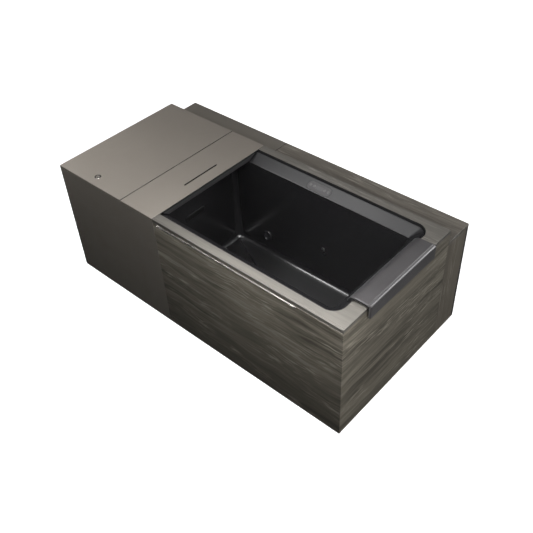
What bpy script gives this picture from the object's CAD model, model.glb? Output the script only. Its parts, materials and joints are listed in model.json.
import bmesh
import bpy
import json
import math
from mathutils import Matrix, Vector


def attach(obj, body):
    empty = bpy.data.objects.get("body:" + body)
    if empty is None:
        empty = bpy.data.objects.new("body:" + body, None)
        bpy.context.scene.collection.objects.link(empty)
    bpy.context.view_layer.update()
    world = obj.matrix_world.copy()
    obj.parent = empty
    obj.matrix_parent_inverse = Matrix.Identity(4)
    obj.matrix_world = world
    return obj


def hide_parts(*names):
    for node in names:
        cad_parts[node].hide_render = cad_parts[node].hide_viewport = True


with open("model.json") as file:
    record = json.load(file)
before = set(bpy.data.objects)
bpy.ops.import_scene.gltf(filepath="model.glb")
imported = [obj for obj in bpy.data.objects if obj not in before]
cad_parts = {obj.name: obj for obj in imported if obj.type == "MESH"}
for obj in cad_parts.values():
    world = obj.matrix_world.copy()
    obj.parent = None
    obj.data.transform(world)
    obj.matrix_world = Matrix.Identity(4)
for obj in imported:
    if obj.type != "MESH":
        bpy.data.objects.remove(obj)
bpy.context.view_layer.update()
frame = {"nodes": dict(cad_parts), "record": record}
nodes = frame["nodes"]

# The part's working coordinates: x from the cabinet's left end, y from its
# front face, z from the floor, in millimetres. R() gives metres in the frame.
CX, CY = 1013.0, 527.75


def R(x, y, z):
    return Vector(((x - CX) / 1000.0, (y - CY) / 1000.0, z / 1000.0))


# ------------------------------------------------------------------ materials
def blank(name):
    mat = bpy.data.materials.new(name)
    mat.use_nodes = True
    nt = mat.node_tree
    for n in list(nt.nodes):
        nt.nodes.remove(n)
    out = nt.nodes.new("ShaderNodeOutputMaterial")
    bsdf = nt.nodes.new("ShaderNodeBsdfPrincipled")
    nt.links.new(bsdf.outputs["BSDF"], out.inputs["Surface"])
    return mat, nt, bsdf


def coords(nt, scale=(1, 1, 1), location=(0, 0, 0), rotation=(0, 0, 0)):
    tex = nt.nodes.new("ShaderNodeTexCoord")
    mp = nt.nodes.new("ShaderNodeMapping")
    mp.inputs["Scale"].default_value = scale
    mp.inputs["Location"].default_value = location
    mp.inputs["Rotation"].default_value = rotation
    nt.links.new(tex.outputs["Object"], mp.inputs["Vector"])
    return mp.outputs["Vector"]


def noise(nt, vec, scale, detail=3.0, rough=0.5, distortion=0.0):
    n = nt.nodes.new("ShaderNodeTexNoise")
    n.inputs["Scale"].default_value = scale
    n.inputs["Detail"].default_value = detail
    n.inputs["Roughness"].default_value = rough
    n.inputs["Distortion"].default_value = distortion
    nt.links.new(vec, n.inputs["Vector"])
    return n.outputs["Fac"]


def remap(nt, value, a, b, c, d):
    m = nt.nodes.new("ShaderNodeMapRange")
    m.inputs["From Min"].default_value = a
    m.inputs["From Max"].default_value = b
    m.inputs["To Min"].default_value = c
    m.inputs["To Max"].default_value = d
    nt.links.new(value, m.inputs["Value"])
    return m.outputs["Result"]


def math2(nt, op, a, b):
    m = nt.nodes.new("ShaderNodeMath")
    m.operation = op
    for k, v in ((0, a), (1, b)):
        if isinstance(v, (int, float)):
            m.inputs[k].default_value = v
        else:
            nt.links.new(v, m.inputs[k])
    return m.outputs[0]


def ramp(nt, value, stops):
    r = nt.nodes.new("ShaderNodeValToRGB")
    el = r.color_ramp.elements
    el[0].position, el[0].color = stops[0][0], (*stops[0][1], 1)
    el[1].position, el[1].color = stops[-1][0], (*stops[-1][1], 1)
    for pos, col in stops[1:-1]:
        e = el.new(pos)
        e.color = (*col, 1)
    nt.links.new(value, r.inputs["Fac"])
    return r.outputs["Color"]


def mix(nt, fac, a, b, mode="MIX"):
    m = nt.nodes.new("ShaderNodeMix")
    m.data_type = "RGBA"
    m.blend_type = mode
    for k, v in (("Factor", fac), ("A", a), ("B", b)):
        sock = [s for s in m.inputs if s.name == k and s.enabled][0]
        if isinstance(v, (int, float)):
            sock.default_value = v
        elif isinstance(v, tuple):
            sock.default_value = (*v, 1)
        else:
            nt.links.new(v, sock)
    return [s for s in m.outputs if s.enabled][0]


def bump(nt, bsdf, height, strength, distance):
    b = nt.nodes.new("ShaderNodeBump")
    b.inputs["Strength"].default_value = strength
    b.inputs["Distance"].default_value = distance
    nt.links.new(height, b.inputs["Height"])
    nt.links.new(b.outputs["Normal"], bsdf.inputs["Normal"])
    return b


def scale_rgb(c, k):
    return tuple(min(1.0, v * k) for v in c)


def coated(name, color, rough=0.4, spec=0.5, coat=0.0, coat_rough=0.2, metallic=0.0,
           tone=0.06, tone_scale=2.5, grain_scale=900.0, grain=0.15, grain_depth=0.00004,
           rough_var=0.06, smudge_scale=9.0, offset=(0, 0, 0)):
    """Paint, lacquer, plastic or metal: slow tone drift, handled smudges in the
    gloss and a fine surface texture."""
    mat, nt, bsdf = blank(name)
    v = coords(nt, location=offset)
    slow = noise(nt, v, tone_scale, 3.0, 0.55)
    col = ramp(nt, slow, [(0.25, scale_rgb(color, 1 - tone)), (0.75, scale_rgb(color, 1 + tone))])
    nt.links.new(col, bsdf.inputs["Base Color"])
    sm = noise(nt, v, smudge_scale, 5.0, 0.6, 0.4)
    nt.links.new(remap(nt, sm, 0.3, 0.7, max(0.02, rough - rough_var), min(1.0, rough + rough_var)), bsdf.inputs["Roughness"])
    fine = noise(nt, v, grain_scale, 2.0, 0.5)
    bump(nt, bsdf, fine, grain, grain_depth)
    bsdf.inputs["Metallic"].default_value = metallic
    bsdf.inputs["Specular IOR Level"].default_value = spec
    bsdf.inputs["Coat Weight"].default_value = coat
    bsdf.inputs["Coat Roughness"].default_value = coat_rough
    return mat


def timber(name, dark, mid, light, along="X", start=0.0, across="Z", contrast=1.0, rough=0.5,
           spec=0.5, streak=1.0, fine=1.0, depth=0.00012, coat=0.0, coat_rough=0.3, wave=1.0, seed=0.0, sink=0.0, fade=0.0):
    """Smoked veneer: wavy streaks along the grain, fine broken lines, light flecks and
    pores. start shifts the grain so that it runs on round a mitred corner."""
    mat, nt, bsdf = blank(name)
    tex = nt.nodes.new("ShaderNodeTexCoord")
    sep = nt.nodes.new("ShaderNodeSeparateXYZ")
    nt.links.new(tex.outputs["Object"], sep.inputs[0])
    third = [c for c in "XYZ" if c not in (along, across)][0]
    u = math2(nt, "ADD", sep.outputs[along], start)
    v = math2(nt, "ADD", sep.outputs[across], seed)
    w = math2(nt, "MULTIPLY", sep.outputs[third], 0.0 if start or along + across == "XZ" else 1.0)

    def vec(a, c, vv=None):
        comb = nt.nodes.new("ShaderNodeCombineXYZ")
        nt.links.new(math2(nt, "MULTIPLY", u, a), comb.inputs[0])
        nt.links.new(math2(nt, "MULTIPLY", v if vv is None else vv, c), comb.inputs[1])
        nt.links.new(math2(nt, "MULTIPLY", w, c), comb.inputs[2])
        return comb.outputs[0]

    # waviness of the grain, long and short
    wob1 = remap(nt, noise(nt, vec(1.3, 2.4), 1.0, 2.0, 0.5), 0.25, 0.75, -0.016 * wave, 0.016 * wave)
    wob2 = remap(nt, noise(nt, vec(4.6, 8.0), 1.0, 2.0, 0.5), 0.25, 0.75, -0.0065 * wave, 0.0065 * wave)
    wob3 = remap(nt, noise(nt, vec(14.0, 30.0), 1.0, 2.0, 0.5), 0.25, 0.75, -0.0016 * wave, 0.0016 * wave)
    vw = math2(nt, "ADD", v, math2(nt, "ADD", wob1, math2(nt, "ADD", wob2, wob3)))

    broad = noise(nt, vec(0.5, 7.0, vw), 1.0, 2.0, 0.5)
    bands = noise(nt, vec(1.2, 30.0, vw), 1.0, 4.0, 0.62)
    lines = noise(nt, vec(3.4, 120.0, vw), 1.0, 4.0, 0.62)
    hair = noise(nt, vec(10.0, 560.0, vw), 1.0, 3.0, 0.6)
    patch = noise(nt, vec(1.6, 5.0), 1.0, 2.0, 0.5)
    lively = remap(nt, patch, 0.35, 0.65, 0.35, 1.25)
    s1 = math2(nt, "MULTIPLY", remap(nt, broad, 0.3, 0.7, -0.5, 0.5), 0.50 * streak)
    s2 = math2(nt, "MULTIPLY", math2(nt, "MULTIPLY", remap(nt, bands, 0.3, 0.7, -0.5, 0.5), 0.80 * streak), lively)
    s3 = math2(nt, "MULTIPLY", math2(nt, "MULTIPLY", remap(nt, lines, 0.3, 0.7, -0.5, 0.5), 0.46 * fine), lively)
    s4 = math2(nt, "MULTIPLY", remap(nt, hair, 0.3, 0.7, -0.5, 0.5), 0.20 * fine)
    tot = math2(nt, "ADD", math2(nt, "ADD", s1, s2), math2(nt, "ADD", s3, s4))
    val = math2(nt, "ADD", math2(nt, "MULTIPLY", tot, 0.6 * contrast), 0.5)
    # wavy dark figure
    figure = noise(nt, vec(1.5, 17.0, math2(nt, "ADD", v, math2(nt, "MULTIPLY", wob1, 2.2))), 1.0, 3.0, 0.55)
    figure = math2(nt, "MULTIPLY", remap(nt, figure, 0.50, 0.66, 0.0, 0.24 * contrast), remap(nt, patch, 0.40, 0.58, 0.15, 1.0))
    val = math2(nt, "SUBTRACT", val, figure)
    col = ramp(nt, val, [(0.04, dark), (0.40, scale_rgb(mid, 0.86)), (0.60, scale_rgb(mid, 1.14)), (0.96, light)])
    if sink:
        # the veneer's lower part is cut from darker wood
        col = mix(nt, remap(nt, math2(nt, "ADD", sep.outputs["Z"], math2(nt, "MULTIPLY", wob1, 6.0)), 0.10, 0.52, sink, 0.0), col, scale_rgb(dark, 0.8))
    # light flecks of cut rays, in groups
    fleck = remap(nt, noise(nt, vec(8.0, 130.0, vw), 1.0, 3.0, 0.55), 0.54, 0.63, 0.0, 1.0 * fine)
    fleck = math2(nt, "MULTIPLY", fleck, remap(nt, noise(nt, vec(2.1, 9.0), 1.0, 2.0, 0.5), 0.47, 0.60, 0.0, 1.0))
    col = mix(nt, fleck, col, scale_rgb(light, 1.25))
    if fade:
        # the front bar's veneer is darker towards the cabinet
        near = math2(nt, "MULTIPLY", remap(nt, sep.outputs["X"], -0.22, 0.14, fade, 0.0), remap(nt, sep.outputs["Y"], -0.46, -0.44, 1.0, 0.0))
        col = mix(nt, near, col, scale_rgb(dark, 0.55))
    # pores: short dark dashes
    pore = remap(nt, noise(nt, vec(15.0, 480.0, vw), 1.0, 2.0, 0.5), 0.60, 0.72, 0.0, 0.5 * fine)
    col = mix(nt, pore, col, scale_rgb(dark, 0.65))
    nt.links.new(col, bsdf.inputs["Base Color"])
    nt.links.new(remap(nt, math2(nt, "ADD", tot, pore), -0.6, 0.8, rough + 0.06, rough - 0.05), bsdf.inputs["Roughness"])
    h = math2(nt, "SUBTRACT", math2(nt, "ADD", s3, s4), pore)
    bump(nt, bsdf, h, 0.55, depth)
    bsdf.inputs["Specular IOR Level"].default_value = spec
    bsdf.inputs["Coat Weight"].default_value = coat
    bsdf.inputs["Coat Roughness"].default_value = coat_rough
    return mat


def brushed(name, color, rough=0.3, along="X", metallic=1.0):
    mat, nt, bsdf = blank(name)
    s = [900.0, 900.0, 900.0]
    s["XYZ".index(along)] = 12.0
    hair = noise(nt, coords(nt, tuple(s)), 1.0, 3.0, 0.6)
    slow = noise(nt, coords(nt), 8.0, 3.0, 0.5)
    col = ramp(nt, math2(nt, "ADD", math2(nt, "MULTIPLY", hair, 0.6), math2(nt, "MULTIPLY", slow, 0.4)),
               [(0.3, scale_rgb(color, 0.88)), (0.7, scale_rgb(color, 1.08))])
    nt.links.new(col, bsdf.inputs["Base Color"])
    nt.links.new(remap(nt, hair, 0.3, 0.7, rough - 0.06, rough + 0.08), bsdf.inputs["Roughness"])
    bump(nt, bsdf, hair, 0.12, 0.00002)
    bsdf.inputs["Metallic"].default_value = metallic
    return mat


def soft_touch(name, color):
    """Matte polyurethane cover with a fine leather-like grain."""
    mat, nt, bsdf = blank(name)
    v = coords(nt)
    slow = noise(nt, v, 7.0, 4.0, 0.55)
    cells = nt.nodes.new("ShaderNodeTexVoronoi")
    cells.feature = "DISTANCE_TO_EDGE"
    cells.inputs["Scale"].default_value = 620.0
    nt.links.new(v, cells.inputs["Vector"])
    crease = remap(nt, cells.outputs["Distance"], 0.0, 0.12, 0.0, 1.0)
    fine = noise(nt, v, 1700.0, 2.0, 0.5)
    col = ramp(nt, slow, [(0.3, scale_rgb(color, 0.90)), (0.7, scale_rgb(color, 1.12))])
    col = mix(nt, remap(nt, crease, 0.0, 1.0, 0.35, 0.0), col, scale_rgb(color, 0.6))
    # the cover darkens over the roll that hangs into the tub
    sep = nt.nodes.new("ShaderNodeSeparateXYZ")
    nt.links.new(coords(nt), sep.inputs[0])
    col = mix(nt, remap(nt, sep.outputs["X"], 0.893, 0.937, 0.85, 0.0), col, scale_rgb(color, 0.10))
    nt.links.new(col, bsdf.inputs["Base Color"])
    nt.links.new(remap(nt, slow, 0.3, 0.7, 0.44, 0.56), bsdf.inputs["Roughness"])
    h = math2(nt, "ADD", crease, math2(nt, "MULTIPLY", fine, 0.4))
    bump(nt, bsdf, h, 0.35, 0.00010)
    bsdf.inputs["Specular IOR Level"].default_value = 0.5
    bsdf.inputs["Sheen Weight"].default_value = 0.12
    bsdf.inputs["Sheen Roughness"].default_value = 0.5
    return mat


TAUPE = (0.215, 0.193, 0.168)
M = {}
M["lacquer"] = coated("taupe_lacquer", TAUPE, rough=0.38, spec=0.5, coat=0.0, tone=0.03, grain=0.25, grain_depth=0.00003)
M["lacquer_ledge"] = coated("taupe_lacquer_ledge", (0.155, 0.141, 0.122), rough=0.40, spec=0.5, tone=0.03, grain=0.25, grain_depth=0.00003)
W_DARK, W_MID, W_LIGHT = (0.085, 0.075, 0.058), (0.216, 0.195, 0.155), (0.385, 0.352, 0.288)
M["front_timber"] = timber("smoked_timber_front", W_DARK, W_MID, W_LIGHT, "X", 0.0, "Z", contrast=1.7, rough=0.5, wave=1.4, sink=0.56)
M["end_timber"] = timber("smoked_timber_end", W_DARK, W_MID, W_LIGHT, "Y", 1.51475, "Z", contrast=1.7, rough=0.5, wave=1.4, sink=0.16)
M["deck_timber"] = timber("deck_timber", (0.110, 0.103, 0.0905), (0.158, 0.1485, 0.1325), (0.211, 0.200, 0.181), "X", 0.0, "Y", contrast=0.8, rough=0.34, streak=0.8, fine=0.9, depth=0.00005, wave=0.5, fade=0.6)
M["ledge_timber"] = timber("ledge_timber", (0.092, 0.080, 0.065), (0.150, 0.134, 0.112), (0.213, 0.196, 0.167), "X", 0.0, "Y", contrast=0.9, rough=0.45, wave=0.7)
M["ledge_end"] = timber("ledge_end_timber", (0.12, 0.105, 0.082), (0.193, 0.170, 0.137), (0.27, 0.245, 0.203), "Z", 0.0, "Y", contrast=0.8, rough=0.5)
M["back_board"] = coated("black_back_board", (0.045, 0.043, 0.041), rough=0.55, tone=0.12, grain_scale=700.0, grain=0.5, grain_depth=0.0001)
M["basin"] = coated("basin_black", (0.0175, 0.0172, 0.0182), rough=0.22, spec=0.5, tone=0.08, grain_scale=1200.0, grain=0.18, grain_depth=0.00003, rough_var=0.02, smudge_scale=5.0)
M["basin_rim"] = coated("basin_rim_black", (0.0175, 0.0172, 0.0182), rough=0.25, spec=0.36, tone=0.08, grain_scale=1200.0, grain=0.18, grain_depth=0.00003, rough_var=0.02, smudge_scale=5.0)
M["rail"] = coated("satin_rail", (0.27, 0.26, 0.242), rough=0.28, metallic=1.0, tone=0.04, rough_var=0.05, grain=0.05, grain_depth=0.00001)
M["basin_floor"] = coated("basin_floor_matte", (0.0150, 0.0147, 0.0155), rough=0.42, spec=0.36, tone=0.08, grain_scale=1500.0, grain=0.35, grain_depth=0.00005, rough_var=0.02, smudge_scale=5.0)
M["frame"] = coated("black_powder_coat", (0.03, 0.031, 0.032), rough=0.55, tone=0.1, grain_scale=1600.0, grain=0.6, grain_depth=0.00008)
M["steel"] = brushed("stainless_steel", (0.60, 0.59, 0.57), 0.32, "X")
M["steel_z"] = brushed("stainless_steel_feet", (0.52, 0.52, 0.51), 0.38, "Z")
M["chrome"] = coated("polished_rail", (0.46, 0.445, 0.42), rough=0.26, metallic=1.0, tone=0.04, rough_var=0.05, grain=0.05, grain_depth=0.00001)
M["latch_metal"] = coated("latch_metal", (0.42, 0.40, 0.38), rough=0.26, metallic=1.0, tone=0.05, rough_var=0.06, grain=0.08, grain_depth=0.00001)
M["hinge"] = brushed("hinge_steel", (0.06, 0.058, 0.056), 0.5, "X")
M["foam"] = coated("foam_board", (0.46, 0.52, 0.55), rough=0.8, tone=0.06, grain_scale=380.0, grain=0.9, grain_depth=0.0003)
M["fitting"] = coated("black_fitting", (0.022, 0.022, 0.024), rough=0.26, tone=0.1, grain=0.1, rough_var=0.06)
M["grille"] = coated("black_grille", (0.012, 0.012, 0.0125), rough=0.6, spec=0.12, tone=0.1, grain=0.15, rough_var=0.05)
M["skirt"] = coated("black_skirt", (0.020, 0.020, 0.021), rough=0.50, tone=0.1, grain=0.3, rough_var=0.05)
M["seal"] = coated("black_edge_seal", (0.006, 0.006, 0.0062), rough=0.65, spec=0.3, tone=0.1, grain=0.3, rough_var=0.05)
M["nozzle"] = coated("nozzle_plastic", (0.035, 0.035, 0.038), rough=0.20, tone=0.1, grain=0.05)
M["button"] = coated("button_plastic", (0.055, 0.050, 0.051), rough=0.34, tone=0.05, grain=0.1)
M["panel"] = coated("control_pad", (0.022, 0.020, 0.021), rough=0.42, tone=0.05, grain=0.1)
M["display"] = coated("display_window", (0.036, 0.033, 0.034), rough=0.30, tone=0.05, grain=0.02, rough_var=0.03)
M["probe"] = coated("probe_steel", (0.14, 0.14, 0.142), rough=0.30, metallic=0.9, tone=0.06, grain=0.05)
M["pipe"] = coated("grey_pipe", (0.42, 0.43, 0.44), rough=0.42, tone=0.06, grain_scale=500.0, grain=0.2)
M["vessel"] = coated("vessel_plastic", (0.30, 0.33, 0.36), rough=0.36, tone=0.06, grain_scale=600.0, grain=0.15)
M["compressor"] = coated("compressor_enamel", (0.025, 0.026, 0.028), rough=0.32, tone=0.1, grain_scale=260.0, grain=0.25, grain_depth=0.0001)
M["equipment"] = coated("equipment_plastic", (0.055, 0.06, 0.066), rough=0.45, tone=0.08, grain_scale=900.0, grain=0.4, grain_depth=0.0001)
M["coil"] = brushed("coil_aluminium", (0.66, 0.67, 0.68), 0.38, "Z")
M["paper"] = coated("filter_paper", (0.80, 0.83, 0.85), rough=0.9, tone=0.05, grain_scale=1500.0, grain=0.5, grain_depth=0.0002)
M["headrest"] = soft_touch("headrest_cover", (0.044, 0.0406, 0.0424))
M["headrest_core"] = coated("headrest_core", (0.012, 0.012, 0.0125), rough=0.6, spec=0.3, tone=0.1, grain=0.4, rough_var=0.05)
M["bracket"] = brushed("headrest_plate", (0.012, 0.012, 0.012), 0.55, "Y")

NODE_MATERIAL = {
    "base_side_rails": "frame", "base_cross_rails": "frame", "frame_posts": "frame", "long_top_rails": "frame", "cross_top_rails": "frame",
    "base_tray": "steel", "levelling_feet": "steel_z", "rear_panel_screws": "steel", "drain_valve": "steel", "headrest_bracket": "bracket",
    "cabinet_front_panel": "lacquer", "cabinet_end_panel": "lacquer", "main_cover": "lacquer", "service_cover": "lacquer", "riser_left": "lacquer_ledge",
    "ledge_top_left": "lacquer_ledge", "front_panel": "front_timber", "end_panel": "end_timber", "deck_board": "deck_timber",
    "ledge_top_right": "ledge_timber", "riser_right": "ledge_timber", "ledge_end_panels": "ledge_end", "rear_panels": "back_board",
    "pull_rail": "rail", "latch_bezel": "latch_metal", "cover_latch": "latch_metal",
    "hinge_fixed_leaves": "hinge", "main_cover_hinge_leaves": "hinge", "service_cover_hinge_leaves": "hinge",
    "tub_shell": "basin", "tub_insulation": "foam", "return_jet_ring": "fitting", "suction_grille": "grille", "ozone_inlet": "fitting",
    "control_panel_housing": "panel", "vent_grille": "fitting", "fan_shroud": "equipment", "fan_rotor": "fitting", "filter_lid": "equipment",
    "power_inlet": "fitting", "drain_valve_lever": "fitting", "return_jet_nozzle": "nozzle",
    "power_button": "button", "temperature_down_button": "button", "temperature_up_button": "button", "filter_button": "button",
    "control_display": "display", "temperature_sensor": "probe", "drain_body": "probe", "drain_plug": "probe",
    "water_pipes": "pipe", "heat_exchanger": "vessel", "filter_housing": "vessel", "compressor": "compressor",
    "circulation_pump": "equipment", "control_box": "equipment", "ozone_generator": "equipment", "condenser_coil": "coil",
    "filter_cartridge": "paper", "headrest_pad": "headrest",
}
for name, key in NODE_MATERIAL.items():
    nodes[name].data.materials.clear()
    nodes[name].data.materials.append(M[key])


def paint_faces(mesh, material, test):
    """Gives the faces that pass a test a second material."""
    mesh.materials.append(material)
    index = len(mesh.materials) - 1
    for poly in mesh.polygons:
        if test(poly.center, poly.normal):
            poly.material_index = index

BODY_OF = {n: b for b, ns in frame["record"]["behaviour"]["bodies"].items() for n in ns}


# -------------------------------------------------------------------- helpers
def finish_mesh(obj, angle=40.0):
    obj.data.polygons.foreach_set("use_smooth", [True] * len(obj.data.polygons))
    obj.data.set_sharp_from_angle(angle=math.radians(angle))
    obj.data.update()
    return obj


def from_bmesh(bm, name, mat, angle=40.0):
    bmesh.ops.recalc_face_normals(bm, faces=bm.faces)
    me = bpy.data.meshes.new(name)
    bm.to_mesh(me)
    bm.free()
    ob = bpy.data.objects.new(name, me)
    bpy.context.scene.collection.objects.link(ob)
    me.materials.append(mat)
    return finish_mesh(ob, angle)


def stand_for(obj, *names, body=None):
    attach(obj, body or BODY_OF[names[0]])
    if names:
        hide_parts(*names)
    return obj


def flat_normals(me, narrow):
    """Keeps broad faces flat and lets only the narrow arris faces turn between them."""
    me.calc_loop_triangles()
    polys = me.polygons
    nrm = [Vector(q.normal) for q in polys]
    at = {}
    big = []
    for q in polys:
        ring = [me.vertices[v].co for v in q.vertices]
        around = sum((ring[i] - ring[i - 1]).length for i in range(len(ring)))
        big.append(q.area / max(around, 1e-9) > narrow)
        for v in q.vertices:
            at.setdefault(v, []).append(q.index)
    near = math.cos(math.radians(30.0))

    def broad(k, v):
        total = Vector((0, 0, 0))
        for g in at[v]:
            if big[g] and nrm[g].dot(nrm[k]) > near:
                total += nrm[g]
        return total.normalized()

    out = []
    for q in polys:
        for v in q.vertices:
            if big[q.index]:
                out.append(broad(q.index, v))
                continue
            best = [g for g in at[v] if big[g]]
            if best:
                out.append(broad(max(best, key=lambda g: nrm[g].dot(nrm[q.index])), v))
            else:
                total = Vector((0, 0, 0))
                for g in at[v]:
                    total += nrm[g]
                out.append(total.normalized() if total.length > 1e-9 else nrm[q.index])
    me.normals_split_custom_set(out)


def softened(node, width, segments=3, limit=40.0):
    """A copy of a node whose sharp arrises are rounded, standing for the node."""
    src = nodes[node]
    bm = bmesh.new()
    bm.from_mesh(src.data)
    bmesh.ops.remove_doubles(bm, verts=bm.verts, dist=1e-6)
    bmesh.ops.dissolve_limit(bm, angle_limit=math.radians(0.6), verts=bm.verts, edges=bm.edges, use_dissolve_boundaries=False)
    me = bpy.data.meshes.new(node + "_finished")
    bm.to_mesh(me)
    bm.free()
    ob = bpy.data.objects.new(node + "_finished", me)
    bpy.context.scene.collection.objects.link(ob)
    me.polygons.foreach_set("use_smooth", [True] * len(me.polygons))
    mod = ob.modifiers.new("arris", "BEVEL")
    mod.width = width
    mod.segments = segments
    mod.limit_method = "ANGLE"
    mod.angle_limit = math.radians(limit)
    mod.use_clamp_overlap = True
    deps = bpy.context.evaluated_depsgraph_get()
    done = bpy.data.meshes.new_from_object(ob.evaluated_get(deps), preserve_all_data_layers=True, depsgraph=deps)
    ob.modifiers.clear()
    ob.data = done
    done.name = node + "_finished"
    done.materials.clear()
    done.materials.append(src.data.materials[0])
    flat_normals(done, 0.45 * width)
    return stand_for(ob, node)


for node, width in (
    ("cabinet_front_panel", 0.0010), ("cabinet_end_panel", 0.0010), ("front_panel", 0.0009), ("end_panel", 0.0009),
    ("deck_board", 0.0012), ("riser_left", 0.0008), ("riser_right", 0.0008), ("ledge_top_left", 0.0010),
    ("ledge_top_right", 0.0010), ("ledge_end_panels", 0.0008), ("rear_panels", 0.0010), ("main_cover", 0.0006), ("service_cover", 0.0006),
):
    softened(node, width)

# the skirt and the lip under the service cover's board are black, its top is lacquered;
# the boards' edges in the seams, in the finger slot and round the basin are sealed black
paint_faces(bpy.data.objects["service_cover_finished"].data, M["skirt"], lambda c, n: c.z < 0.7425)
paint_faces(bpy.data.objects["service_cover_finished"].data, M["seal"],
            lambda c, n: (abs(n.z) < 0.6 and c.z > 0.7365 and (
                c.x > -0.2392 or c.x < -0.4820 or (abs(c.x + 0.314) < 0.0056 and abs(c.y + 0.09725) < 0.126)))
            or (n.z > 0.5 and c.x > -0.2385 and 0.7365 < c.z < 0.7425))
paint_faces(bpy.data.objects["main_cover_finished"].data, M["seal"],
            lambda c, n: abs(n.z) < 0.6 and n.x > 0.5 and c.x > -0.4895)
paint_faces(bpy.data.objects["ledge_top_left_finished"].data, M["seal"], lambda c, n: n.x > 0.5 and c.x > -0.236)
paint_faces(bpy.data.objects["ledge_top_right_finished"].data, M["seal"], lambda c, n: n.x < -0.5 and c.x < -0.228)
paint_faces(bpy.data.objects["deck_board_finished"].data, M["seal"],
            lambda c, n: abs(n.z) < 0.6 and -0.4763 < c.y < 0.2848 and c.x < 0.911)

# ---------------------------------------------------------------------- basin
LIP = (590.0, 1918.0, 57.0, 808.0)
BEVEL_W = (52.0, 49.0, 43.0, 66.0)      # left, right, front, back


def side_inset(inset, width):
    """Distance from the lip's outline on one side; only the bevel's width differs."""
    if inset <= 8.0:
        return inset
    if inset <= 60.0:
        return 8.0 + (inset - 8.0) * width / 52.0
    return inset - 52.0 + width


def ring_points(insets, radius, heights, n_corner=14, n_x=26, n_y=14):
    """Rounded rectangle inside the lip's outline, with the same point count at every
    level; insets and heights are given for the left, right, front and rear side."""
    left, right, front, rear = insets
    x0, x1, y0, y1 = LIP[0] + left, LIP[1] - right, LIP[2] + front, LIP[3] - rear
    r = max(0.4, radius)
    zl, zr, zf, zb = heights
    pts = []
    corners = ((x1 - r, y0 + r, -90, zf, zr), (x1 - r, y1 - r, 0, zr, zb), (x0 + r, y1 - r, 90, zb, zl), (x0 + r, y0 + r, 180, zl, zf))
    for k, (cx, cy, a0, za, ze) in enumerate(corners):
        for i in range(n_corner + 1):
            a = math.radians(a0 + 90.0 * i / n_corner)
            turn = 0.5 - 0.5 * math.cos(math.pi * i / n_corner)
            pts.append((cx + r * math.cos(a), cy + r * math.sin(a), za + (ze - za) * turn))
        # straight run to the next corner
        nx, ny, na = corners[(k + 1) % 4][:3]
        a = math.radians(na)
        end = (nx + r * math.cos(a), ny + r * math.sin(a))
        start = pts[-1]
        count = n_y if k in (0, 2) else n_x
        for i in range(1, count):
            t = i / count
            pts.append((start[0] + (end[0] - start[0]) * t, start[1] + (end[1] - start[1]) * t, ze))
    return [R(*q) for q in pts]


def level_ring(inset, radius, z):
    return ring_points([side_inset(inset, w) for w in BEVEL_W], radius, [z] * 4)


def arc2(p0, p1, p2, r, steps):
    """Rounds the corner p0-p1-p2 of a profile with radius r; returns the arc's points."""
    a, b, c = Vector(p0), Vector(p1), Vector(p2)
    u, v = (a - b).normalized(), (c - b).normalized()
    half = u.angle(v) / 2
    t = r / math.tan(half)
    s, e = b + u * t, b + v * t
    centre = b + (u + v).normalized() * (r / math.sin(half))
    out = []
    sa, ea = s - centre, e - centre
    total = sa.angle_signed(ea)
    for i in range(steps + 1):
        rot = Matrix.Rotation(-total * i / steps, 2)
        out.append(tuple(centre + rot @ sa))
    return out


def basin_profile():
    # (inset from the lip's outline, height)
    pts = [(5.0, 728.8), (5.0, 720.0)]
    pts += arc2((5.0, 728.0), (5.0, 716.0), (0.0, 716.0), 1.6, 3)
    pts += arc2((5.0, 716.0), (0.0, 716.0), (0.0, 740.0), 1.6, 3)
    pts += [(0.0, 722.0), (0.0, 732.0)]
    pts += arc2((0.0, 716.0), (0.0, 740.0), (8.0, 740.0), 2.4, 6)
    pts += [(4.6, 740.0)]
    pts += arc2((0.0, 740.0), (8.0, 740.0), (60.0, 707.0), 3.0, 5)
    pts += [(8.0 + 52.0 * u, 740.0 - 33.0 * u) for u in (0.12, 0.45, 0.80)]
    pts += arc2((8.0, 740.0), (60.0, 707.0), (73.0, 109.0), 4.0, 6)
    return pts


def basin_radius(inset):
    return 67.0 - inset if inset <= 8 else 59.0 - (inset - 8.0) * 31.0 / 52.0


# foot of each wall (inset, height) and the fillet to the floor: left, right, front, rear;
# the floor falls from the rear wall to the drain
FOOT = ((72.93, 115.0, 34.0), (72.93, 115.0, 34.0), (72.93, 114.0, 26.0), (70.2, 120.0, 36.0))
bm = bmesh.new()
rings = []
for inset, z in basin_profile():
    rings.append([bm.verts.new(p) for p in level_ring(inset, basin_radius(inset), z)])
for z in (698.0, 640.0, 560.0, 480.0, 400.0, 320.0, 240.0, 185.0):
    ins = [side_inset(60.0 + (w - 60.0) * (707.0 - z) / (707.0 - zf), k) for (w, zf, _), k in zip(FOOT, BEVEL_W)]
    rings.append([bm.verts.new(p) for p in ring_points(ins, 28.0 + 22.0 * (707.0 - z) / 598.0, [z] * 4)])
fillets = [arc2((60.0, 707.0), (w, zf), (300.0, zf), r, 12) for w, zf, r in FOOT]
for k in range(13):
    ins = [side_inset(f[k][0], w) for f, w in zip(fillets, BEVEL_W)]
    grown = sum(f[k][0] - f[0][0] for f in fillets) / 4.0
    rings.append([bm.verts.new(p) for p in ring_points(ins, max(8.0, 50.0 - 0.9 * grown), [f[k][1] for f in fillets])])
under = [(5.0, 728.8), (54.0, 701.0), (58.0, 690.0), (66.0, 160.0), (67.2, 130.0), (71.5, 113.0), (84.0, 105.0), (104.0, 103.0)]
outer = []
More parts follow.
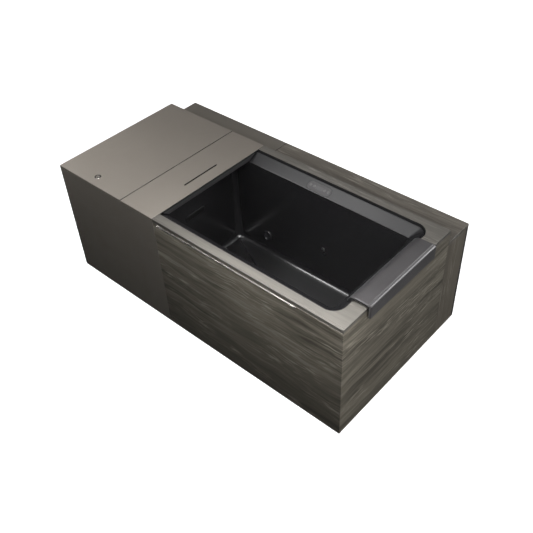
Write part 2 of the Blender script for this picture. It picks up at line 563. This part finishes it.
for k, (inset, z) in enumerate(under[1:]):
    r = {54.0: 34.0, 58.0: 34.5}.get(inset, max(6.0, 46.0 - max(0.0, inset - 67.0)))
    outer.append([bm.verts.new(p) for p in level_ring(inset, r, z)])
n = len(rings[0])
chain = outer[::-1] + rings
for a, b in zip(chain[:-1], chain[1:]):
    for i in range(n):
        j = (i + 1) % n
        bm.faces.new((a[i], a[j], b[j], b[i]))


def floor_cap(ring, z_mid):
    """Closes a ring with quads that run from front to back, dished to the middle."""
    loop = ring
    prev = loop
    for s in (0.86, 0.6, 0.3, 0.08):
        cx = sum((v.co.x for v in ring)) / n
        cy = sum((v.co.y for v in ring)) / n
        cur = []
        for v in ring:
            z = v.co.z + (z_mid - v.co.z) * (1 - s) ** 1.5
            cur.append(bm.verts.new((cx + (v.co.x - cx) * s, cy + (v.co.y - cy) * s, z)))
        for i in range(n):
            j = (i + 1) % n
            bm.faces.new((prev[i], prev[j], cur[j], cur[i]))
        prev = cur
    bm.faces.new(prev)


floor_cap(rings[-1], 0.1110)
floor_cap(outer[-1], outer[-1][0].co.z)
basin = from_bmesh(bm, "basin_shell", M["basin"], 55.0)


def prism(bm, outline, origin, x_dir, z_dir, start, depth):
    """Straight prism over a flat outline in millimetres, for cutting."""
    xd = Vector(x_dir).normalized()
    zd = Vector(z_dir).normalized()
    yd = zd.cross(xd)
    o = R(*origin)
    low = [bm.verts.new(o + (xd * u + yd * w + zd * start) / 1000.0) for u, w in outline]
    high = [bm.verts.new(o + (xd * u + yd * w + zd * (start + depth)) / 1000.0) for u, w in outline]
    for i in range(len(outline)):
        j = (i + 1) % len(outline)
        bm.faces.new((low[i], low[j], high[j], high[i]))
    bm.faces.new(low[::-1])
    bm.faces.new(high)


def circle(r, count=48):
    return [(r * math.cos(2 * math.pi * i / count), r * math.sin(2 * math.pi * i / count)) for i in range(count)]


def slot_outline(width, height, count=24):
    r, h = height / 2.0, (width - height) / 2.0
    pts = [(h + r * math.cos(math.pi * (i / count - 0.5)), r * math.sin(math.pi * (i / count - 0.5))) for i in range(count + 1)]
    return pts + [(-u, -w) for u, w in pts]


def on_back(px, pz):
    return (px, 721.0 + 13.0 * (pz - 109.0) / 598.0, pz)


BACK_N = (0.0, -598.0, 13.0)
LEFT_N = (598.0, 0.0, 13.0)
BEVEL_N = (0.0, -33.0, 66.0)
PAD = (1263.0, 763.0, 707.0 + (763.0 - 734.0) * 33.0 / 66.0)
bm = bmesh.new()
prism(bm, circle(28.0, 64), on_back(900.0, 229.0), (1, 0, 0), BACK_N, -14, 28)
prism(bm, circle(8.2, 32), on_back(1323.0, 349.0), (1, 0, 0), BACK_N, -14, 28)
prism(bm, circle(8.2, 32), on_back(1327.0, 314.0), (1, 0, 0), BACK_N, -14, 28)
prism(bm, slot_outline(132.0, 26.0), (650.0 + 13.0 * (707.0 - 481.0) / 598.0, 394.0, 481.0), (0, 1, 0), LEFT_N, -14, 28)
prism(bm, slot_outline(143.0, 39.0), PAD, (1, 0, 0), BEVEL_N, -14, 28)
prism(bm, circle(24.0, 48), (1180.0, 330.0, 95.0), (1, 0, 0), (0, 0, 1), 0, 30)
bmesh.ops.recalc_face_normals(bm, faces=bm.faces)
cutter_mesh = bpy.data.meshes.new("fitting_holes")
bm.to_mesh(cutter_mesh)
bm.free()
cutter = bpy.data.objects.new("fitting_holes", cutter_mesh)
bpy.context.scene.collection.objects.link(cutter)
mod = basin.modifiers.new("holes", "BOOLEAN")
mod.operation = "DIFFERENCE"
mod.solver = "EXACT"
mod.object = cutter
deps = bpy.context.evaluated_depsgraph_get()
holed = bpy.data.meshes.new_from_object(basin.evaluated_get(deps), depsgraph=deps)
basin.modifiers.clear()
basin.data = holed
bpy.data.objects.remove(cutter)
finish_mesh(basin, 40.0)
# the flat of the floor has a fine matte texture
paint_faces(basin.data, M["basin_floor"], lambda c, n: n.z > 0.97 and c.z < 0.1245)
paint_faces(basin.data, M["basin_rim"], lambda c, n: c.z > 0.7075)
stand_for(basin, "tub_shell")

# ------------------------------------------------------------------ headrest
Y0, Y1 = 162.0, 686.0


def through(points, steps=5):
    """Catmull-Rom curve through points; its first and last point only steer it."""
    out = []
    for k in range(1, len(points) - 2):
        p0, p1, p2, p3 = (Vector(q) for q in points[k - 1:k + 3])
        for i in range(steps):
            t = i / steps
            q = 0.5 * ((2 * p1) + (p2 - p0) * t + (2 * p0 - 5 * p1 + 4 * p2 - p3) * t * t + (3 * p1 - p0 - 3 * p2 + p3) * t ** 3)
            out.append(tuple(q))
    out.append(tuple(points[-2]))
    return out


def headrest_section():
    """Outline in x and z: hook flange, flat top with its seam groove, roll over the lip."""
    out = []
    out += arc2((2012.4, 770.4), (2012.4, 706.0), (2026.0, 706.0), 4.5, 5)
    out += arc2((2012.4, 706.0), (2026.0, 706.0), (2026.0, 785.0), 5.0, 6)
    out += [(2026.0, 725.0), (2026.0, 745.0), (2026.0, 762.0)]
    out += arc2((2026.0, 706.0), (2026.0, 785.0), (1946.0, 785.0), 10.5, 10)
    # seam groove
    out += [(2016.2, 784.9), (2015.3, 784.4), (2014.7, 783.3), (2014.3, 781.6), (2013.6, 780.7), (2011.4, 780.7), (2010.6, 781.4), (2010.0, 783.0), (2009.2, 784.3), (2008.0, 784.85)]
    out += [(2004.0, 785.0), (1990.0, 785.0), (1972.0, 785.0)]
    out += through([(1972.0, 785.0), (1954.0, 785.0), (1938.0, 783.3), (1922.0, 777.6), (1909.0, 768.0), (1900.5, 755.5), (1897.0, 745.5), (1897.6, 740.6), (1901.2, 738.3), (1905.4, 739.0), (1911.0, 742.6)], 3)
    out += [(1911.5, 743.0), (1917.5, 745.6), (1921.5, 750.0)]
    out += arc2((1921.5, 750.0), (1927.0, 770.4), (1990.0, 770.4), 6.0, 4)
    out += [(1950.0, 770.4), (1980.0, 770.4)]
    out += arc2((1980.0, 770.4), (2012.4, 770.4), (2012.4, 740.0), 4.0, 4)
    out += [(2012.4, 748.0), (2012.4, 728.0)]
    return out


def inset_loop(pts, d):
    """Moves a closed outline inwards by d (clockwise or not), along its own normals."""
    area = sum(pts[i][0] * pts[(i + 1) % len(pts)][1] - pts[(i + 1) % len(pts)][0] * pts[i][1] for i in range(len(pts)))
    sign = 1.0 if area > 0 else -1.0
    res = []
    m = len(pts)
    for i in range(m):
        a, b, c = Vector(pts[i - 1]), Vector(pts[i]), Vector(pts[(i + 1) % m])
        u, v = (b - a), (c - b)
        n1 = Vector((-u.y, u.x)).normalized() * sign if u.length > 1e-9 else Vector((0, 0))
        n2 = Vector((-v.y, v.x)).normalized() * sign if v.length > 1e-9 else Vector((0, 0))
        nn = (n1 + n2)
        if nn.length < 1e-6:
            nn = n1
        nn.normalize()
        k = max(0.5, nn.dot(n1)) if n1.length > 0 else 1.0
        res.append(tuple(b + nn * (d / k)))
    return res


section = headrest_section()
bm = bmesh.new()
EDGE = 3.6
stations = [(Y0 + EDGE * (1 - math.cos(math.radians(90.0 * i / 5))), EDGE * (1 - math.sin(math.radians(90.0 * i / 5)))) for i in range(6)]
inner_n = 40
for i in range(1, inner_n):
    t = i / inner_n
    stations.append((Y0 + EDGE + (Y1 - Y0 - 2 * EDGE) * t, 0.0))
stations += [(Y0 + Y1 - y, d) for y, d in stations[5::-1]]
loops = []
for y, d in stations:
    loop = inset_loop(section, d) if d > 1e-6 else section
    t = (y - Y0) / (Y1 - Y0)
    crown = math.sin(math.pi * max(0.0, min(1.0, t))) ** 0.6
    vs = []
    for px, pz in loop:
        # the top is very slightly crowned
        top = max(0.0, min(1.0, (pz - 774.0) / 8.0))
        vs.append(bm.verts.new(R(px, y, pz - 0.9 * (1 - crown) * top)))
    loops.append(vs)
m = len(section)
for a, b in zip(loops[:-1], loops[1:]):
    for i in range(m):
        j = (i + 1) % m
        bm.faces.new((a[i], a[j], b[j], b[i]))
bm.faces.new(loops[0])
bm.faces.new(loops[-1][::-1])
for level, normal in ((R(2012.4, 0, 0), (1, 0, 0)), (R(0, 0, 779.0), (0, 0, 1))):
    bmesh.ops.bisect_plane(bm, geom=bm.verts[:] + bm.edges[:] + bm.faces[:], dist=1e-6, plane_co=level, plane_no=normal)
pad = from_bmesh(bm, "headrest_cover", M["headrest"], 60.0)
# the core of the plate is black where it shows under the cover
paint_faces(pad.data, M["headrest_core"], lambda c, n: c.x < 0.9994 and c.z < 0.779 and (abs(n.y) > 0.9 or n.z < -0.9))
stand_for(pad, "headrest_pad")

# ------------------------------------------------------------------ pull rail
RAIL_Z, RAIL_Y, RAIL_R = 717.0, 2.8, 4.5


def lathe_x(bm, x_r, y, z, seg=40):
    """Surface of revolution about a line along X: (x, radius) pairs in order."""
    rings_ = []
    for px, pr in x_r:
        rings_.append([bm.verts.new(R(px, y + pr * math.cos(2 * math.pi * i / seg), z + pr * math.sin(2 * math.pi * i / seg))) for i in range(seg)])
    for a, b in zip(rings_[:-1], rings_[1:]):
        for i in range(seg):
            j = (i + 1) % seg
            bm.faces.new((a[i], a[j], b[j], b[i]))
    bm.faces.new(rings_[0])
    bm.faces.new(rings_[-1][::-1])


bm = bmesh.new()
prof = [(812.0, RAIL_R)] + [(1728.6 + 2.4 * math.sin(math.radians(a)), RAIL_R - 2.4 + 2.4 * math.cos(math.radians(a))) for a in range(0, 91, 15)]
lathe_x(bm, prof, RAIL_Y, RAIL_Z)
ball = [(812.0 - 6.5 * math.cos(math.radians(a)), max(0.05, 6.5 * math.sin(math.radians(a)))) for a in range(2, 179, 8)]
lathe_x(bm, ball, 4.0, RAIL_Z)
rail = from_bmesh(bm, "pull_rail_polished", M["rail"], 50.0)
stand_for(rail, "pull_rail")
bm = bmesh.new()
for px in (852.0, 1272.0, 1700.0):
    seg = 20
    r0 = [bm.verts.new(R(px + 3.0 * math.cos(2 * math.pi * i / seg), 3.0, RAIL_Z + 3.0 * math.sin(2 * math.pi * i / seg))) for i in range(seg)]
    r1 = [bm.verts.new(R(px + 3.0 * math.cos(2 * math.pi * i / seg), 11.6, RAIL_Z + 3.0 * math.sin(2 * math.pi * i / seg))) for i in range(seg)]
    r2 = [bm.verts.new(R(px + 5.5 * math.cos(2 * math.pi * i / seg), 11.9, RAIL_Z + 5.5 * math.sin(2 * math.pi * i / seg))) for i in range(seg)]
    for a, b in ((r0, r1), (r1, r2)):
        for i in range(seg):
            j = (i + 1) % seg
            bm.faces.new((a[i], a[j], b[j], b[i]))
    bm.faces.new(r0)
    bm.faces.new(r2[::-1])
posts = from_bmesh(bm, "pull_rail_posts", M["rail"], 50.0)
stand_for(posts, body="cabinet")

# ---------------------------------------------------------------------- stage
bm = bmesh.new()
S = 30.0
vs = [bm.verts.new((x, y, -0.0005)) for x, y in ((-S, -S), (S, -S), (S, S), (-S, S))]
bm.faces.new(vs)
floor_mat, nt, bsdf = blank("studio_floor")
v = coords(nt)
nt.links.new(ramp(nt, noise(nt, v, 0.6, 2.0), [(0.3, (0.86, 0.86, 0.86)), (0.7, (0.88, 0.88, 0.875))]), bsdf.inputs["Base Color"])
bsdf.inputs["Roughness"].default_value = 0.85
bsdf.inputs["Emission Color"].default_value = (1.0, 1.0, 1.0, 1)
bsdf.inputs["Emission Strength"].default_value = 0.97
floor = from_bmesh(bm, "studio_floor", floor_mat)
floor.visible_diffuse = False
floor.visible_glossy = False

world = bpy.data.worlds.new("studio")
bpy.context.scene.world = world
world.use_nodes = True
wn = world.node_tree
bg = wn.nodes["Background"]
bg.inputs["Color"].default_value = (0.96, 0.98, 1.0, 1)
bg.inputs["Strength"].default_value = 0.02


def softbox(name, x, y, z, sx, sy, watts):
    """Square or strip softbox that faces straight down."""
    lamp = bpy.data.lights.new(name, "AREA")
    lamp.shape = "RECTANGLE"
    lamp.size, lamp.size_y = sx, sy
    lamp.energy = watts
    ob = bpy.data.objects.new(name, lamp)
    ob.location = (x, y, z)
    ob.visible_camera = False
    bpy.context.scene.collection.objects.link(ob)


def sheen_box(name, x, y, z, sx, sy, watts, aim=None):
    """Softbox that only shows in glossy reflections, like a strip light seen in the moulding."""
    softbox(name, x, y, z, sx, sy, watts)
    ob = bpy.data.objects[name]
    ob.visible_diffuse = False
    if aim:
        ob.rotation_euler = (Vector(aim) - Vector((x, y, z))).to_track_quat("-Z", "Y").to_euler()


def distant(name, azimuth, elevation, strength):
    """Soft far light from an azimuth (0 = front, 90 = right) and elevation in degrees."""
    lamp = bpy.data.lights.new(name, "SUN")
    lamp.angle = 0.7
    lamp.energy = strength
    az, el = math.radians(azimuth), math.radians(elevation)
    ob = bpy.data.objects.new(name, lamp)
    ob.rotation_euler = (-Vector((math.sin(az) * math.cos(el), -math.cos(az) * math.cos(el), math.sin(el)))).to_track_quat("-Z", "Y").to_euler()
    bpy.context.scene.collection.objects.link(ob)


for k, (x, y, z, sx, sy, watts) in enumerate((
    (0.7, -0.75, 1.6, 0.7, 0.7, 11.2), (1.4, -0.75, 1.6, 0.7, 0.7, 8.7), (0.7, -0.6, 1.35, 2.6, 0.15, 5.4),
    (-1.4, -0.75, 1.6, 0.7, 0.7, 10.8), (-0.6, 0.0, 2.8, 0.6, 0.6, 5.5), (2.1, -0.75, 1.6, 0.7, 0.7, 7.0),
    (0.0, 0.0, 2.8, 0.6, 0.6, 3.5), (-1.2, 0.0, 2.8, 0.6, 0.6, 2.9), (-0.6, 1.2, 2.8, 0.6, 0.6, 2.6),
    (0.0, -0.75, 1.6, 0.7, 0.7, 1.0), (0.0, -1.5, 1.6, 0.7, 0.7, 1.3), (0.0, -1.6, 3.0, 1.5, 1.5, 1.8),
)):
    softbox("softbox_%02d" % k, x, y, z, sx, sy, watts)
sheen_box("strip_reflection", -1.10, -0.85, 2.8, 0.81, 0.35, 33.0, (0.2, 0.2, 0.12))
sheen_box("corner_reflection", 0.5, -1.5, 2.8, 0.4, 0.4, 64.0, (-0.33, 0.17, 0.13))
sheen_box("near_edge_reflection", -0.36, -2.8, 2.8, 0.5, 0.5, 60.0, (0.97, -0.36, 0.78))
sheen_box("edge_reflection", 2.4, 2.0, 2.4, 0.8, 0.8, 160.0, (0.0, 0.0, 0.75))
for k, (azimuth, elevation, strength) in enumerate(((135, 20, 1.04), (315, 20, 0.12), (270, 70, 0.06))):
    distant("far_light_%d" % k, azimuth, elevation, strength)

# --------------------------------------------------------------------- camera
AZ, EL, ROLL = math.radians(43.7586), math.radians(42.1592), math.radians(3.1934)
back = Vector((math.sin(AZ) * math.cos(EL), -math.cos(AZ) * math.cos(EL), math.sin(EL)))
f = -back
r = f.cross(Vector((0, 0, 1))).normalized()
d = f.cross(r)
r2 = r * math.cos(ROLL) + d * math.sin(ROLL)
d2 = -r * math.sin(ROLL) + d * math.cos(ROLL)
cam = bpy.data.cameras.new("photo_camera")
cam.lens = 733.475 / 533.0 * 36.0
cam.sensor_width = 36.0
cam.sensor_fit = "HORIZONTAL"
cam.clip_start, cam.clip_end = 0.05, 200.0
cam_ob = bpy.data.objects.new("photo_camera", cam)
mw = Matrix.Identity(4)
for i in range(3):
    mw[i][0], mw[i][1], mw[i][2] = r2[i], -d2[i], back[i]
mw[0][3], mw[1][3], mw[2][3] = 2.2235, -2.2685, 3.0562
cam_ob.matrix_world = mw
bpy.context.scene.collection.objects.link(cam_ob)
bpy.context.scene.camera = cam_ob

bpy.context.scene.view_settings.view_transform = "Standard"
bpy.context.scene.view_settings.look = "None"
bpy.context.scene.view_settings.exposure = 0.0
